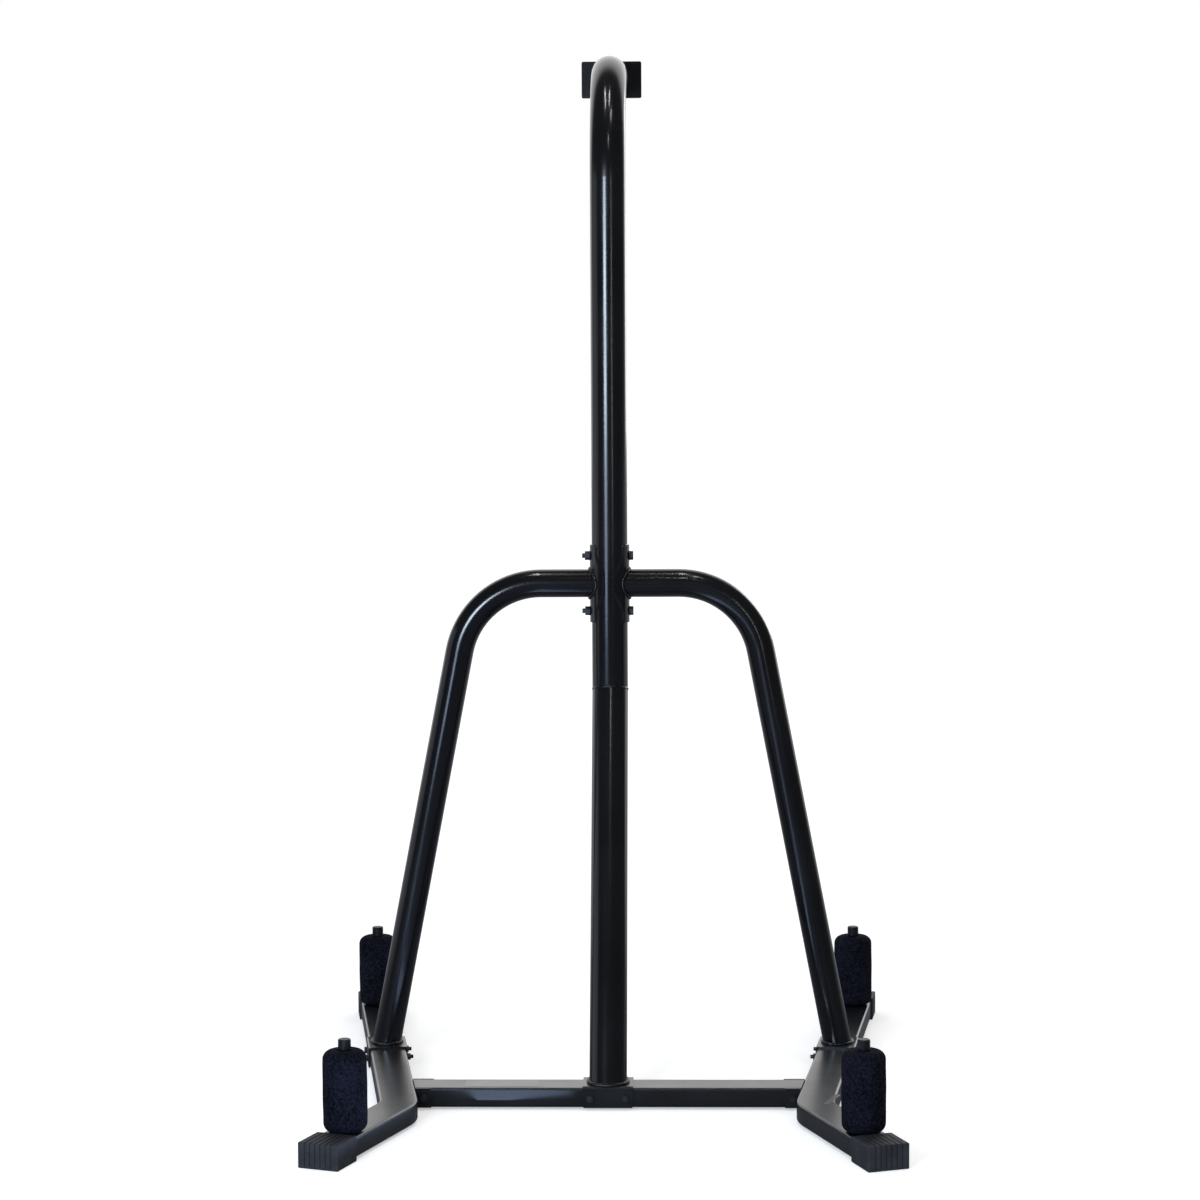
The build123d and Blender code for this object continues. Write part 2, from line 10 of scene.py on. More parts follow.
import bpy
import numpy as np
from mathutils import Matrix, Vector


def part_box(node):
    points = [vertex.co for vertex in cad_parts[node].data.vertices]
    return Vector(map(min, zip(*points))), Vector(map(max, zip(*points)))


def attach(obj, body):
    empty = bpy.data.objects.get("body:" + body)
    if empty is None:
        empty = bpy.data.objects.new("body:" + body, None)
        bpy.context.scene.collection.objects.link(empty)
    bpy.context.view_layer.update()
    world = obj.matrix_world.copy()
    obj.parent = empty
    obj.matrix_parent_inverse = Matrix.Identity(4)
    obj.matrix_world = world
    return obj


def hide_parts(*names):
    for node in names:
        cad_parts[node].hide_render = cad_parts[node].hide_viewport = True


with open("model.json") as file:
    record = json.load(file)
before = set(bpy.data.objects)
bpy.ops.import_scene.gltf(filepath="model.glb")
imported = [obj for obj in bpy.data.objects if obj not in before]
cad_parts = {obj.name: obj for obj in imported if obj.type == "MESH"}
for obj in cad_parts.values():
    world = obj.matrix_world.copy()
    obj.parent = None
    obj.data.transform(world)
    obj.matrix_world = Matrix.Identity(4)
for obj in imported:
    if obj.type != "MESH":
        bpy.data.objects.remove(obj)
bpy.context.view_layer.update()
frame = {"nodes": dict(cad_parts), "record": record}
LOG = logging.getLogger("stand")
Colour = tuple[float, float, float]
Point = tuple[float, float, float]


# ---------------------------------------------------------------- shader building blocks
class Socket:
    """A value or link in a node tree, on which Python operators add Math nodes."""

    def __init__(self, tree: "Tree", source: Any) -> None:
        """Wraps an output socket.

        Args:
            tree: the tree that new nodes are added to.
            source: the output socket.
        """
        self.tree = tree
        self.source = source

    def math(self, operation: str, *others: Any) -> "Socket":
        """Adds one Math node with this socket first."""
        return self.tree.node("ShaderNodeMath", {"operation": operation}, [self, *others])

    def __add__(self, other: Any) -> "Socket":
        """self + other."""
        return self.math("ADD", other)

    __radd__ = __add__

    def __mul__(self, other: Any) -> "Socket":
        """self * other."""
        return self.math("MULTIPLY", other)

    __rmul__ = __mul__

    def __sub__(self, other: Any) -> "Socket":
        """self - other."""
        return self.math("SUBTRACT", other)

    def __rsub__(self, other: Any) -> "Socket":
        """other - self."""
        return self.tree.node("ShaderNodeMath", {"operation": "SUBTRACT"}, [other, self])

    def clamp(self) -> "Socket":
        """Limits the value to 0..1."""
        return self.tree.node("ShaderNodeClamp", {}, [self])


class Tree:
    """A material's node tree with one method for adding any node."""

    def __init__(self, tree: Any) -> None:
        """Wraps a node tree and clears it.

        Args:
            tree: the Blender node tree.
        """
        self.tree = tree
        tree.nodes.clear()

    def link(self, target: Any, value: Any) -> None:
        """Feeds a socket from a link or sets its own number or colour.

        Args:
            target: the input socket.
            value: a Socket, a number, or a sequence.
        """
        if isinstance(value, Socket):
            self.tree.links.new(value.source, target)
        elif value is not None:
            target.default_value = value

    def node(self, kind: str, settings: dict[str, Any], values: Any = (), out: int | str = 0) -> Socket:
        """Adds one node.

        Args:
            kind: the node's type.
            settings: attributes that are set first; "stops" fills a colour ramp.
            values: a list for the inputs in order, or a dict from input name to value.
            out: which output to return.

        Returns:
            The chosen output.
        """
        made = self.tree.nodes.new(kind)
        for name, value in settings.items():
            if name == "stops":
                ramp = made.color_ramp.elements
                while len(ramp) < len(value):
                    ramp.new(0.5)
                for element, (place, colour) in zip(ramp, value):
                    element.position = place
                    element.color = colour
            else:
                setattr(made, name, value)
        pairs = values.items() if isinstance(values, dict) else enumerate(values)
        for key, value in pairs:
            self.link(made.inputs[key], value)
        return Socket(self, made.outputs[out] if made.outputs else None)

    def place(self, stretch: Point = (1.0, 1.0, 1.0)) -> Socket:
        """Object coordinates in metres, each axis multiplied by its stretch."""
        here = self.node("ShaderNodeTexCoord", {}, (), "Object")
        if stretch == (1.0, 1.0, 1.0):
            return here
        return self.node("ShaderNodeVectorMath", {"operation": "MULTIPLY"}, [here, stretch])

    def noise(self, scale: float, detail: float = 3.0, roughness: float = 0.5,
              stretch: Point = (1.0, 1.0, 1.0)) -> Socket:
        """Fractal noise on Object coordinates, as a value of about 0.3 to 0.7."""
        values = {"Vector": self.place(stretch), "Scale": scale, "Detail": detail, "Roughness": roughness}
        return self.node("ShaderNodeTexNoise", {}, values, 0)

    def cells(self, scale: float) -> Socket:
        """Distance to the middle of the nearest cell, 0 in the middle and about 1 between cells."""
        values = {"Vector": self.place(), "Scale": scale}
        return self.node("ShaderNodeTexVoronoi", {"feature": "F1"}, values, "Distance")

    def ramp(self, value: Socket, low: float, high: float) -> Socket:
        """Stretches low..high to 0..1, with smooth ends."""
        settings = {"interpolation_type": "SMOOTHSTEP"}
        return self.node("ShaderNodeMapRange", settings, {"Value": value, "From Min": low, "From Max": high})

    def mix(self, factor: Any, first: Any, second: Any) -> Socket:
        """Blends two colours."""
        made = self.tree.nodes.new("ShaderNodeMix")
        made.data_type = "RGBA"
        self.link(made.inputs[0], factor)
        self.link(made.inputs[6], first)
        self.link(made.inputs[7], second)
        return Socket(self, made.outputs[2])

    def bump(self, height: Socket, distance: float, strength: float = 1.0) -> Socket:
        """A Bump node.

        Args:
            height: the height, 0..1.
            distance: what 1 stands for, in metres.
            strength: how much of it shows.

        Returns:
            The bent normal.
        """
        values = {"Height": height, "Distance": distance, "Strength": strength}
        return self.node("ShaderNodeBump", {}, values)


def rgba(colour: Sequence[float]) -> tuple[float, float, float, float]:
    """A colour with full alpha."""
    return (*colour[:3], 1.0)


@dataclass(frozen=True)
class Finish:
    """What every finish shares: a colour that drifts, a gloss that drifts with it, and a fine relief."""

    name: str
    colour: Colour
    shade: float = 0.15
    shade_scale: float = 6.0
    roughness: float = 0.4
    roughness_spread: float = 0.08
    metallic: float = 0.0
    specular: float = 0.5
    coat: float = 0.0
    coat_ior: float = 1.5
    coat_roughness: float = 0.1
    grain_scale: float = 900.0
    grain_depth: float = 0.0001
    grain_share: float = 0.3
    wear: float = 0.0
    wear_colour: Colour = (0.2, 0.2, 0.2)

    def drift(self, tree: Tree) -> Socket:
        """The slow change of shade over a surface, 0 to 1."""
        return tree.ramp(tree.noise(self.shade_scale, 4.0), 0.32, 0.68)

    def worn(self, tree: Tree) -> Socket:
        """Where the surface is rubbed or dusty, 0 to wear: thin scratches and small specks."""
        scratch = tree.ramp(tree.noise(9.0, 6.0, 0.75, stretch=(1.0, 9.0, 2.0)), 0.66, 0.73)
        speck = tree.ramp(tree.noise(240.0, 3.0, 0.7), 0.67, 0.74)
        return (scratch + speck).clamp() * self.wear

    def speckle(self, tree: Tree) -> Socket:
        """Fine change of shade that goes with the relief, 0 to 1."""
        return tree.ramp(tree.noise(self.grain_scale * 0.5, 2.0, 0.7), 0.35, 0.65)

    def height(self, tree: Tree) -> Socket:
        """The fine relief, 0 to 1."""
        return tree.noise(self.grain_scale, 2.0, 0.6)

    def material(self) -> bpy.types.Material:
        """Builds the material.

        Returns:
            A new material whose colour, roughness and bump vary over the surface.
        """
        made = bpy.data.materials.new(self.name)
        made.use_nodes = True
        tree = Tree(made.node_tree)
        drift, worn = self.drift(tree), self.worn(tree)
        dark = rgba([c * (1 - self.shade) for c in self.colour])
        light = rgba([c * (1 + self.shade) for c in self.colour])
        shade = drift * (1 - self.grain_share) + self.speckle(tree) * self.grain_share
        colour = tree.mix(worn, tree.mix(shade, dark, light), rgba(self.wear_colour))
        rough = drift * self.roughness_spread + worn * 0.3 + (self.roughness - self.roughness_spread / 2)
        shader = tree.node("ShaderNodeBsdfPrincipled", {}, {
            "Base Color": colour,
            "Roughness": rough.clamp(),
            "Metallic": self.metallic,
            "Specular IOR Level": self.specular,
            "Coat Weight": self.coat,
            "Coat IOR": self.coat_ior,
            "Coat Roughness": self.coat_roughness,
            "Normal": tree.bump(self.height(tree), self.grain_depth),
        })
        tree.node("ShaderNodeOutputMaterial", {}, {"Surface": shader})
        return made


@dataclass(frozen=True)
class PowderCoat(Finish):
    """Baked powder paint: an orange-peel skin of broad soft waves with a fine grain on them."""

    peel_scale: float = 150.0

    def height(self, tree: Tree) -> Socket:
        """Waves of a few millimetres plus a fifth as much fine grain."""
        return tree.noise(self.peel_scale, 1.0, 0.4) * 0.8 + tree.noise(self.grain_scale, 2.0, 0.6) * 0.2


@dataclass(frozen=True)
class CellFoam(Finish):
    """Closed-cell foam: cut cells of a millimetre or so; its mottled skin is partly painted glints."""

    cell_scale: float = 620.0

    def height(self, tree: Tree) -> Socket:
        """Small pits at the cells with noise between them."""
        return tree.cells(self.cell_scale) * 0.6 + tree.noise(self.grain_scale, 3.0, 0.7) * 0.4


@dataclass(frozen=True)
class MouldedRubber(Finish):
    """Moulded rubber: a dull, slightly bloomed skin with a fine leather-like grain."""

    def height(self, tree: Tree) -> Socket:
        """Fine noise that is bent by rounder cells."""
        return tree.noise(self.grain_scale, 4.0, 0.6) * 0.7 + tree.cells(self.grain_scale * 0.6) * 0.3


@dataclass(frozen=True)
class PlatedSteel(Finish):
    """Plated steel: short drawing lines under the plating and a cloudy tarnish."""

    def height(self, tree: Tree) -> Socket:
        """Lines drawn out along Z, with fine noise."""
        return tree.noise(self.grain_scale, 2.0, 0.5, stretch=(1.0, 1.0, 0.08))


class Slot(Enum):
    """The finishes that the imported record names."""

    FRAME = "frame_paint"
    COUPLER = "coupler_paint"
    FASTENER = "fastener_zinc"
    HANGER = "hanger_steel"
    CAP = "cap_rubber"
    PEG = "peg_plastic"
    FOAM = "foam"


FINISHES: dict[Slot, Finish] = {
    Slot.FRAME: PowderCoat("gloss_powder_coat", (0.0030, 0.0032, 0.0044), shade=0.3, shade_scale=5.0,
                           roughness=0.2, roughness_spread=0.06, specular=0.40, coat=0.7, coat_ior=1.25,
                           coat_roughness=0.1, grain_scale=700.0, grain_depth=0.00008, wear=0.04),
    Slot.COUPLER: PowderCoat("joint_powder_coat", (0.0034, 0.0036, 0.0046), shade=0.3, shade_scale=6.0,
                             roughness=0.22, roughness_spread=0.06, specular=0.40, coat=0.7, coat_ior=1.25,
                             coat_roughness=0.11, grain_scale=700.0, grain_depth=0.00009, wear=0.05),
    Slot.FASTENER: PlatedSteel("black_zinc", (0.060, 0.062, 0.070), shade=0.3, shade_scale=60.0,
                               roughness=0.34, metallic=0.85, grain_scale=1500.0, grain_depth=0.00004,
                               wear=0.4, wear_colour=(0.40, 0.40, 0.41)),
    Slot.HANGER: PlatedSteel("zinc_plate", (0.50, 0.51, 0.52), shade=0.12, shade_scale=40.0, roughness=0.3,
                             metallic=1.0, grain_scale=1200.0, grain_depth=0.00005, wear=0.2,
                             wear_colour=(0.22, 0.22, 0.21)),
    Slot.CAP: MouldedRubber("cap_rubber", (0.022, 0.024, 0.030), shade=0.3, shade_scale=25.0,
                            roughness=0.62, grain_scale=700.0, grain_depth=0.00022, specular=0.35,
                            wear=0.14, wear_colour=(0.12, 0.12, 0.125)),
    Slot.PEG: Finish("peg_plastic", (0.006, 0.0063, 0.008), roughness=0.36, grain_scale=900.0,
                     grain_depth=0.00008, specular=0.35, wear=0.15, wear_colour=(0.08, 0.08, 0.085)),
    # The foam's strong fine speckle of lighter and darker colour (shade 0.9, grain share 0.75) is partly its
    # own mottling and partly painted glints of light on its cells.
    Slot.FOAM: CellFoam("closed_cell_foam", (0.0052, 0.0058, 0.0115), shade=0.9, shade_scale=18.0,
                        roughness=0.9, roughness_spread=0.08, grain_scale=420.0, grain_depth=0.0012,
                        grain_share=0.75, specular=0.07, wear=0.05, wear_colour=(0.04, 0.045, 0.07)),
}
FLOOR_STEEL = PowderCoat("brushed_powder_coat", (0.0045, 0.0048, 0.0058), shade=0.3, shade_scale=7.0,
                         roughness=0.34, roughness_spread=0.1, specular=0.45, coat=0.8, coat_ior=1.3,
                         coat_roughness=0.24, grain_scale=800.0, grain_depth=0.00012, wear=0.10)
FLOOR_PIECES = ("leg_rail", "cross_tube", "foot_saddle", "rail_bracket")
STICKER = Finish("bare_film", (0.085, 0.085, 0.09), shade=0.15, shade_scale=30.0, roughness=0.34,
                 grain_scale=500.0, grain_depth=0.00005, coat=0.6, coat_roughness=0.2, wear=0.2,
                 wear_colour=(0.16, 0.16, 0.165))


# ---------------------------------------------------------------- meshes
def grid_mesh(name: str, points: np.ndarray, wrap_u: bool = False, wrap_v: bool = False) -> bpy.types.Object:
    """Makes an object from a grid of points, point [i, j] joined to [i + 1, j] and [i, j + 1].

    Args:
        name: the object's name.
        points: an array of shape (nu, nv, 3), in metres.
        wrap_u: whether the last row joins the first.
        wrap_v: whether the last column joins the first.

    Returns:
        The new object, at the origin, with smooth faces.
    """
    nu, nv = points.shape[:2]
    i = np.arange(nu if wrap_u else nu - 1)
    j = np.arange(nv if wrap_v else nv - 1)
    a, b = np.meshgrid(i, j, indexing="ij")
    a2, b2 = (a + 1) % nu, (b + 1) % nv
    quads = np.stack([a * nv + b, a2 * nv + b, a2 * nv + b2, a * nv + b2], -1).reshape(-1, 4)
    mesh = bpy.data.meshes.new(name)
    mesh.from_pydata(points.reshape(-1, 3).tolist(), [], quads.tolist())
    mesh.polygons.foreach_set("use_smooth", np.ones(len(mesh.polygons), bool))
    mesh.update()
    made = bpy.data.objects.new(name, mesh)
    bpy.context.scene.collection.objects.link(made)
    return made


def centre_of(node: str) -> np.ndarray:
    """Middle of a CAD node's box."""
    low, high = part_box(node)
    return (np.array(low) + np.array(high)) / 2


@dataclass
class FoamSleeve:
    """A soft sleeve round a peg: rounded at both ends and slightly crowned."""

    node: str
    body: str
    edge: float = 0.018
    bore: float = 0.0129
    bore_edge: float = 0.0025
    crown: float = 0.0008
    dent_depth: float = 0.0003
    around: int = 120

    def profile(self) -> np.ndarray:
        """The closed outline, as radius and height from the sleeve's middle.

        It is an arc at each outer end, a wall that bows out by the crown as a cosine of height,
        flat ends, and a small arc at each end of the bore.

        Returns:
            An array of shape (n, 2), going up the outside and down the bore.
        """
        low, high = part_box(self.node)
        radius = (high.x - low.x) / 2 - self.crown
        half = (high.z - low.z) / 2
        quarter = np.linspace(0, np.pi / 2, 14)
        heights = np.linspace(-(half - self.edge), half - self.edge, 34)
        wall_r = radius + self.crown * np.cos(np.pi * heights / (2 * half))
        top_r = wall_r[-1] - self.edge + self.edge * np.cos(quarter)
        top_z = half - self.edge + self.edge * np.sin(quarter)
        lip_r = self.bore + self.bore_edge - self.bore_edge * np.sin(quarter)
        lip_z = half - self.bore_edge + self.bore_edge * np.cos(quarter)
        bore_z = np.linspace(half - self.bore_edge, -(half - self.bore_edge), 12)
        upper = np.column_stack([np.r_[top_r[1:], lip_r], np.r_[top_z[1:], lip_z]])
        lower = upper[::-1] * [1, -1]
        wall = np.column_stack([wall_r, heights])
        inner = np.column_stack([np.full(10, self.bore), bore_z[1:-1]])
        return np.vstack([wall, upper, inner, lower])

    def build(self) -> bpy.types.Object:
        """Turns the outline about the peg, with shallow dents on the outside.

        A dent is sin(3 a + 40 h) cos(2 a - 60 h) of the angle a and the height h, times the depth.

        Returns:
            The sleeve, which stands for the CAD one.
        """
        outline = self.profile()
        centre = centre_of(self.node)
        turn = np.linspace(0, 2 * np.pi, self.around, endpoint=False)[:, None]
        radius = outline[None, :, 0]
        height = outline[None, :, 1]
        phase = float(centre[0] * 7 + centre[1] * 11)
        dent = np.sin(3 * turn + 40 * height + phase) * np.cos(2 * turn - 60 * height)
        outside = np.clip((radius - self.bore) / 0.01, 0, 1)
        r = radius - self.dent_depth * (1 + dent) * outside
        points = np.stack([centre[0] + r * np.cos(turn), centre[1] + r * np.sin(turn),
                           centre[2] + height + 0 * turn], -1)
        made = grid_mesh(self.node + "_soft", points, wrap_u=True, wrap_v=True)
        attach(made, self.body)
        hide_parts(self.node)
        return made


@dataclass
class WeldBead:
    """A rippled bead laid round a tube's foot, on a closed path of unit angle to point."""

    name: str
    path: Callable[[np.ndarray], np.ndarray]
    radius: float = 0.003
    ripples: int = 44
    ripple: float = 0.16
    around: int = 12
    steps: int = 6
    replaced: tuple[str, ...] = ()

    def points(self) -> np.ndarray:
        """A round section carried along the path and swollen at each ripple.

        The radius is the bead's own times 1 plus a share of |sin(n t / 2)| less a slow wobble, where t is
        the angle along the path and n the number of ripples.

        Returns:
            An array of shape (along, around, 3).
        """
        t = np.linspace(0, 2 * np.pi, self.ripples * self.steps, endpoint=False)
        line = self.path(t)
        ahead = np.roll(line, -1, 0) - np.roll(line, 1, 0)
        ahead /= np.linalg.norm(ahead, axis=1, keepdims=True)
        out = line - line.mean(0)
        out -= (out * ahead).sum(1, keepdims=True) * ahead
        out /= np.linalg.norm(out, axis=1, keepdims=True)
        up = np.cross(out, ahead)
        swell = 1 + self.ripple * (np.abs(np.sin(self.ripples * t / 2)) - 0.6) + 0.05 * np.sin(3 * t + 1)
        turn = np.linspace(0, 2 * np.pi, self.around, endpoint=False)
        cos, sin = np.cos(turn)[None, :, None], np.sin(turn)[None, :, None]
        section = cos * out[:, None, :] + sin * up[:, None, :]
        return line[:, None, :] + self.radius * swell[:, None, None] * section

    def build(self) -> bpy.types.Object:
        """Makes the bead.

        Returns:
            The bead, which rides with the stand and stands for the nodes that it replaces.
        """
        made = grid_mesh(self.name, self.points(), wrap_u=True, wrap_v=True)
        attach(made, "stand")
        if self.replaced:
            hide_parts(*self.replaced)
        return made


def oval(middle: np.ndarray, half_x: float, half_y: float, slope_y: float = 0.0) -> Callable:
    """A path round an upright tube: an ellipse in plan whose height falls by the slope along Y.

    Args:
        middle: its centre.
        half_x: half its width.
        half_y: half its depth.
        slope_y: fall in height per length along Y.

    Returns:
        A function from angles to points.
    """
    def path(t: np.ndarray) -> np.ndarray:
        """Points of the ellipse."""
        y = half_y * np.sin(t)
        return np.stack([middle[0] + half_x * np.cos(t), middle[1] + y, middle[2] - slope_y * y], -1)
    return path


def saddle_line(axis_z: float, axis_y: float, tube: float, post: float, side: float) -> Callable:
    """A path where a level tube along X meets an upright round post.

    The tube's point at angle t lies at y = r cos t, z = r sin t, and its x is the post's radius at that y,
    the square root of R squared less y squared.

    Args:
        axis_z: height of the tube's axis.
        axis_y: place of both axes along Y.
        tube: the tube's radius.
        post: the post's radius.
        side: 1 on the right and -1 on the left.

    Returns:
        A function from angles to points.
    """
    def path(t: np.ndarray) -> np.ndarray:
        """Points of the line."""
        y = tube * np.cos(t)
        return np.stack([side * np.sqrt(post ** 2 - y ** 2), axis_y + y, axis_z + tube * np.sin(t)], -1)
    return path


@dataclass
class Welds:
    """Every bead that is rippled: mast foot, mast mitre, brace feet and brace ends."""

    leg: float = 0.0040
    mitre: float = 0.0026
    proud: float = 0.001
    plate: float = 0.004
    level: float = 0.0004
    brace_ripples: int = 46

    def mast_beads(self) -> Iterable[WeldBead]:
        """The beads at the mast's foot and at its mitre.

        Yields:
            The two beads, which stand for the plain CAD ones.
        """
        low, high = (np.array(corner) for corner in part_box("mast_base_weld"))
        middle, half = (low + high) / 2, (high - low) / 2 - self.leg
        middle[2] = low[2] + self.leg * 0.6
        yield WeldBead("mast_foot_bead", oval(middle, half[0], half[1]), self.leg, 60,
                       replaced=("mast_base_weld",))
        low, high = (np.array(corner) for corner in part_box("mast_mitre_bead"))
        half = (high - low) / 2 - self.mitre
        yield WeldBead("mast_mitre_ripple", oval((low + high) / 2, half[0], half[1], half[2] / half[1]),
                       self.mitre, 64, 0.10, replaced=("mast_mitre_bead",))

    def foot_ring(self, node: str) -> tuple[np.ndarray, np.ndarray]:
        """Middle and half sizes of the ring on which a tube stands.

        Args:
            node: the tube's CAD node.

        Returns:
            The ring's middle and its half size, from the mesh's points within the level of its lowest.
        """
        mesh = frame["nodes"][node].data
        points = np.empty(len(mesh.vertices) * 3, np.float32)
        mesh.vertices.foreach_get("co", points)
        points = points.reshape(-1, 3).astype(float)
        ring = points[points[:, 2] < points[:, 2].min() + self.level]
        return (ring.min(0) + ring.max(0)) / 2, (ring.max(0) - ring.min(0)) / 2

    def brace_beads(self, side: str, sign: float) -> Iterable[WeldBead]:
        """The beads at one brace's foot and at its clamp plate.

        Args:
            side: left or right.
            sign: the side's sign along X.

        Yields:
            The two beads.
        """
        middle, half = self.foot_ring(side + "_brace_tube")
        tube = half[1] + self.proud
        middle[2] += self.leg * 0.5
        ring = oval(middle, half[0] + self.proud, tube)
        yield WeldBead(side + "_brace_foot_bead", ring, self.leg, self.brace_ripples)
        plate_low, plate_high = (np.array(corner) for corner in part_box(side + "_mast_clamp_plate"))
        mast_low, mast_high = (np.array(corner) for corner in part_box("mast_socket"))
        post = (mast_high[0] - mast_low[0]) / 2 + self.plate
        axis_z = (plate_low[2] + plate_high[2]) / 2
        axis_y = (mast_low[1] + mast_high[1]) / 2
        line = saddle_line(axis_z, axis_y, tube, post, sign)
        yield WeldBead(side + "_brace_end_bead", line, self.leg, self.brace_ripples)

    def build(self) -> Iterable[bpy.types.Object]:
        """Makes all the beads in turn."""
        for bead in self.mast_beads():
            yield bead.build()
        for side, sign in (("right", 1.0), ("left", -1.0)):
            for bead in self.brace_beads(side, sign):
                yield bead.build()


@dataclass
class BareSticker:
    """A thin blank film on a flat top face."""

    name: str
    centre: Point
    length: float
    width: float
    turn: float = 0.0
    thickness: float = 0.0002
    squareness: float = 0.22

    def build(self) -> bpy.types.Object:
        """A rounded rectangle as a superellipse of a high power, domed by its own thickness at the edge.

        Returns:
            The sticker, with its underside on the surface it lies on.
        """
        angle = np.linspace(0, 2 * np.pi, 96, endpoint=False)[:, None]
        ring = np.array([0.0, 0.5, 0.93, 0.985, 1.0, 1.0, 0.5, 0.0])[None, :]
        level = np.array([1.0, 1.0, 1.0, 1.0, 0.6, 0.0, 0.0, 0.0])[None, :] * self.thickness
        x = np.sign(np.cos(angle)) * np.abs(np.cos(angle)) ** self.squareness * self.length / 2
        y = np.sign(np.sin(angle)) * np.abs(np.sin(angle)) ** self.squareness * self.width / 2
        c, s = math.cos(self.turn), math.sin(self.turn)
        points = np.stack([self.centre[0] + (c * x - s * y) * ring, self.centre[1] + (s * x + c * y) * ring,
                           self.centre[2] + level + 0 * angle], -1)
        made = grid_mesh(self.name, points[:, ::-1], wrap_u=True)
        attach(made, "stand")
        return made


# ---------------------------------------------------------------- finishing, lamps and camera
@dataclass
class Dressing:
    """Gives every CAD node its finish."""

    materials: dict[str, bpy.types.Material] = field(default_factory=dict)

    def material(self, finish: Finish) -> bpy.types.Material:
        """The finish's material, made once."""
        if finish.name not in self.materials:
            self.materials[finish.name] = finish.material()
        return self.materials[finish.name]

    def paint(self, piece: bpy.types.Object, finish: Finish) -> None:
        """Replaces a piece's materials with one finish."""
        piece.data.materials.clear()
        piece.data.materials.append(self.material(finish))

    def dress_nodes(self) -> None:
        """Finishes each node by its slot in the record, with a duller paint on what lies at the floor."""
        for part in frame["record"]["subparts"]:
            node = part["node"]
            on_floor = node.endswith(FLOOR_PIECES)
            finish = FLOOR_STEEL if on_floor else FINISHES[Slot(part["material_slot"])]
            self.paint(frame["nodes"][node], finish)


@dataclass(frozen=True)
class Lamp:
    """One soft rectangular lamp: its radiance is its brightness, where 1 is white."""

    name: str
    place: Point
    aim: Point
    size: tuple[float, float]
    radiance: float
    colour: Colour = (1.0, 1.0, 1.0)

    def build(self) -> None:
        """Adds the lamp, whose power is its radiance times pi times its area."""
        data = bpy.data.lights.new(self.name, "AREA")
        data.shape = "RECTANGLE"
        data.size, data.size_y = self.size
        data.energy = self.radiance * math.pi * self.size[0] * self.size[1]
        data.color = self.colour
        made = bpy.data.objects.new(self.name, data)
        bpy.context.scene.collection.objects.link(made)
        made.location = self.place
        way = Vector(self.aim) - Vector(self.place)
        made.rotation_euler = way.to_track_quat("-Z", "Y").to_euler()
        made.visible_camera = False


def ceiling_strip(x: float, y: float, length: float) -> Lamp:
    """A slim strip that runs along Y at the ceiling and points straight down."""
    return Lamp("ceiling_strip", (x, y, 4.4), (x, y, 0), (0.09, length), 30)


SKY_BLUE: Colour = (0.70, 0.84, 1.0)
DEEP_BLUE: Colour = (0.50, 0.66, 1.0)
LAMPS = (
    Lamp("cool_softbox", (-1.78, -4.48, 1.80), (0, 0.19, 1.6), (1.3, 1.1), 26, SKY_BLUE),
    Lamp("cool_fill", (-1.78, -4.48, 0.86), (0, 0.19, 1.0), (1.2, 0.75), 7, DEEP_BLUE),
    Lamp("slim_strip", (1.80, -4.45, 1.75), (0, 0.19, 1.6), (0.14, 1.6), 9),
    ceiling_strip(-0.49, -0.2, 1.0),
    ceiling_strip(0.33, -0.15, 0.7),
    ceiling_strip(0.88, -1.0, 0.6),
    ceiling_strip(0.40, -3.1, 0.9),
    Lamp("floor_strip", (-0.86, -2.06, 0.03), (-0.8582, -2.0553, 1.03), (0.20, 3.9), 3.0, DEEP_BLUE),
    Lamp("left_wall", (-4.6, 0.4, 1.3), (0, 0.2, 0.8), (3.2, 2.2), 0.55, (0.80, 0.88, 1.0)),
    Lamp("far_softbox", (2.6, 4.2, 2.2), (0, 0.1, 1.0), (1.2, 2.0), 3.0),
)


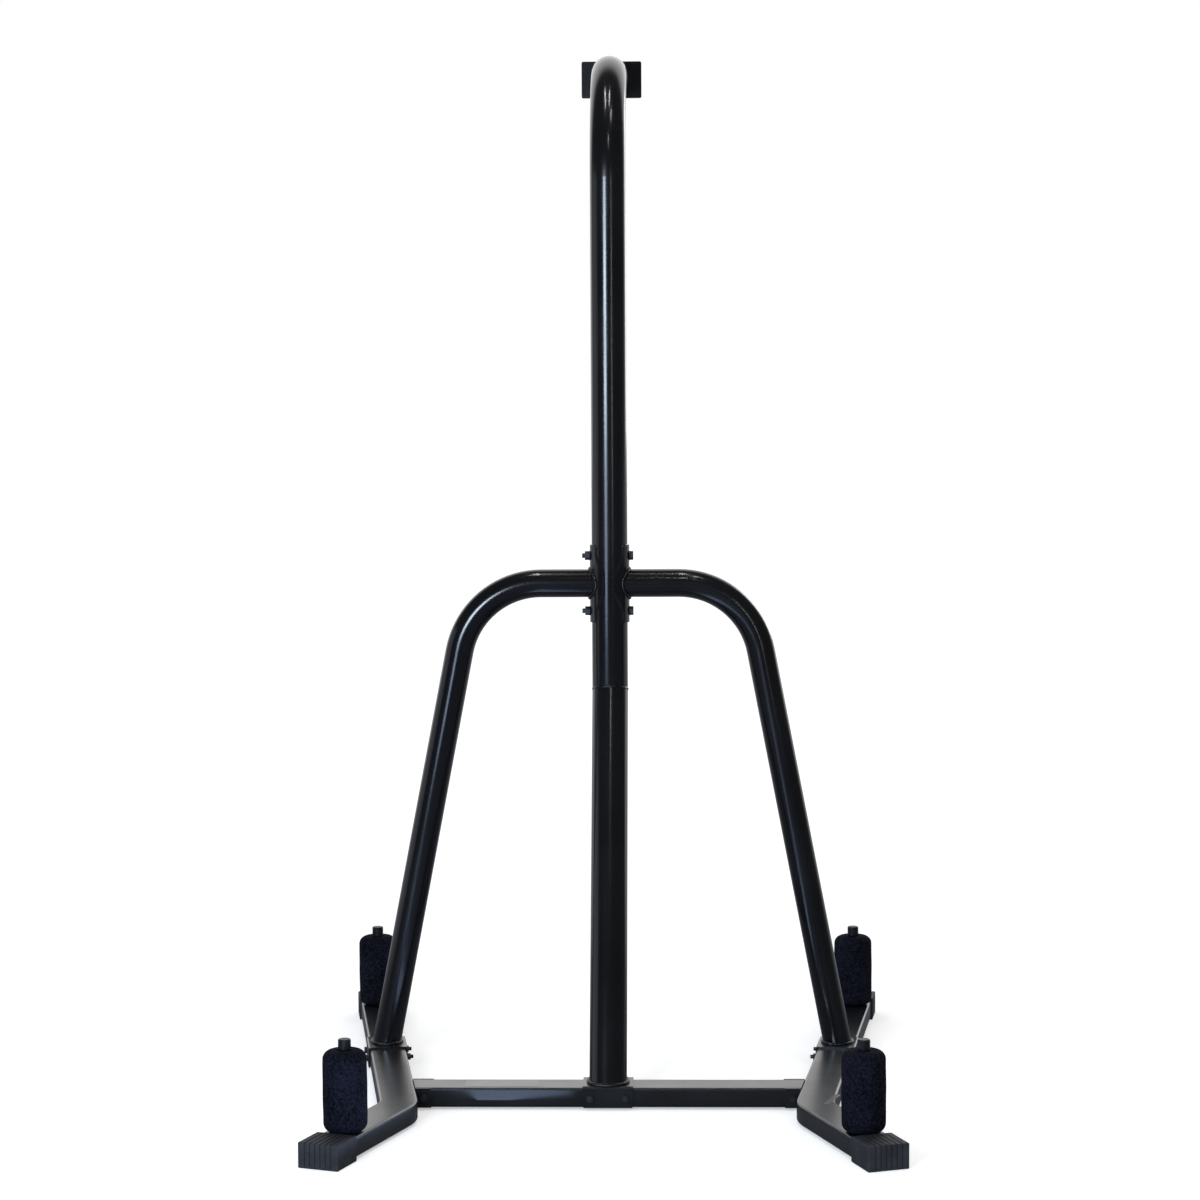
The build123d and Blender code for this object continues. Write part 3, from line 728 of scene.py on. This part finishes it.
@dataclass
class Studio:
    """A white sweep of floor, soft lamps, and the camera."""

    lens: float = 87.62
    camera_place: Point = (0.1336, -6.0248, 1.4988)
    pitch: float = -4.58
    heading: float = 1.4
    roll: float = 0.3
    ambient: float = 0.55
    dim_side: float = 0.09
    backdrop: tuple[float, float] = (0.42, 0.68)
    floor_size: float = 60.0
    near_floor: float = 1.6
    far_floor: float = 7.0
    near_glow: float = 0.42
    far_gain: float = 0.20
    mirror_glow: float = 0.3
    mirror_reach: float = 3.0
    floor_colour: tuple[float, float, float, float] = (0.9, 0.9, 0.9, 1)
    mirrored_floor: tuple[float, float, float, float] = (0.16, 0.17, 0.2, 1)

    def camera(self) -> None:
        """Makes the camera and gives it to the scene."""
        data = bpy.data.cameras.new("camera")
        data.lens = self.lens
        data.sensor_width = 36.0
        made = bpy.data.objects.new("camera", data)
        bpy.context.scene.collection.objects.link(made)
        made.location = self.camera_place
        made.rotation_euler = tuple(math.radians(a) for a in (90 + self.pitch, self.roll, self.heading))
        bpy.context.scene.camera = made

    def rays(self, tree: Tree) -> tuple[Socket, Socket]:
        """Tells apart the rays that see the surround.

        Args:
            tree: the tree that asks.

        Returns:
            1 for a camera ray, and 1 for a reflected or transmitted one.
        """
        eye, glossy, through = (tree.node("ShaderNodeLightPath", {}, (), name) for name in
                                ("Is Camera Ray", "Is Glossy Ray", "Is Transmission Ray"))
        return eye, (glossy + through).clamp() * (1 - eye)

    def world(self) -> None:
        """A pale surround: plain grey light, white where it is seen or mirrored, dimmer behind the lamps."""
        world = bpy.data.worlds.new("surround")
        world.use_nodes = True
        bpy.context.scene.world = world
        tree = Tree(world.node_tree)
        way = tree.node("ShaderNodeTexCoord", {}, (), "Generated")
        along_y = tree.node("ShaderNodeSeparateXYZ", {}, [way], "Y")
        pale = tree.ramp(along_y, *self.backdrop) * (1 - self.dim_side) + self.dim_side
        eye, mirror = self.rays(tree)
        strength = eye + mirror * pale + (1 - (eye + mirror).clamp()) * self.ambient
        shader = tree.node("ShaderNodeBackground", {}, {"Color": (1, 1, 1, 1), "Strength": strength})
        tree.node("ShaderNodeOutputWorld", {}, {"Surface": shader})

    def floor(self) -> None:
        """A pale plane that keeps the soft contact shadow and is as white far off as it is near.

        In reflections it is dim in front of the stand and pale behind it, like the surround.
        """
        half = self.floor_size / 2
        side = np.linspace(-half, half, 5)
        x, y = np.meshgrid(side, side, indexing="ij")
        made = grid_mesh("floor", np.stack([x, y, 0 * x], -1))
        material = bpy.data.materials.new("floor")
        material.use_nodes = True
        tree = Tree(material.node_tree)
        eye, mirror = self.rays(tree)
        shade = tree.mix(mirror, self.floor_colour, self.mirrored_floor)
        diffuse = tree.node("ShaderNodeBsdfDiffuse", {}, {"Color": shade})
        reach = tree.node("ShaderNodeVectorMath", {"operation": "LENGTH"}, [tree.place()], "Value")
        far = tree.ramp(reach, self.near_floor, self.far_floor)
        along_y = tree.node("ShaderNodeSeparateXYZ", {}, [tree.place()], "Y")
        behind = tree.ramp(along_y, 0.0, self.mirror_reach)
        strength = eye * (far * self.far_gain + self.near_glow) + mirror * (behind * self.mirror_glow)
        glow = tree.node("ShaderNodeEmission", {}, {"Color": (1, 1, 1, 1), "Strength": strength})
        shader = tree.node("ShaderNodeAddShader", {}, [diffuse, glow])
        tree.node("ShaderNodeOutputMaterial", {}, {"Surface": shader})
        made.data.materials.append(material)

    def build(self) -> None:
        """Makes everything round the stand."""
        self.camera()
        self.world()
        self.floor()
        for lamp in LAMPS:
            lamp.build()
        bpy.context.scene.view_settings.view_transform = "Standard"


def foam_sleeves() -> Iterable[FoamSleeve]:
    """One sleeve for each peg."""
    for side in ("left", "right"):
        for end in ("rear", "front"):
            yield FoamSleeve(f"{side}_{end}_foam_sleeve", f"{side}_{end}_foam")


def stickers() -> Iterable[BareSticker]:
    """The blank films: one on the cross tube left of the mast, one on the right rail's rear run."""
    low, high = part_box("cross_tube")
    foot_low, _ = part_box("mast_foot_saddle")
    yield BareSticker("cross_tube_sticker", (foot_low.x - 0.166, (low.y + high.y) / 2, high.z), 0.150, 0.050)
    bracket_low, bracket_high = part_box("right_rail_bracket")
    yield BareSticker("rail_sticker", (bracket_high.x + 0.046, bracket_low.y - 0.085, high.z), 0.086, 0.011,
                      math.radians(90 - 20))


def main() -> None:
    """Builds every piece in order and reports it."""
    logging.basicConfig(level=logging.INFO, format="%(message)s")
    Studio().build()
    dressing = Dressing()
    dressing.dress_nodes()
    LOG.info("dressed %d nodes", len(frame["nodes"]))
    for sleeve in foam_sleeves():
        piece = sleeve.build()
        dressing.paint(piece, FINISHES[Slot.FOAM])
        LOG.info("%s: %d faces", piece.name, len(piece.data.polygons))
    for bead in Welds().build():
        dressing.paint(bead, FINISHES[Slot.FRAME])
        LOG.info("%s: %d faces", bead.name, len(bead.data.polygons))
    for film in stickers():
        piece = film.build()
        dressing.paint(piece, STICKER)
        LOG.info("%s", piece.name)


if __name__ == "__main__":
    main()
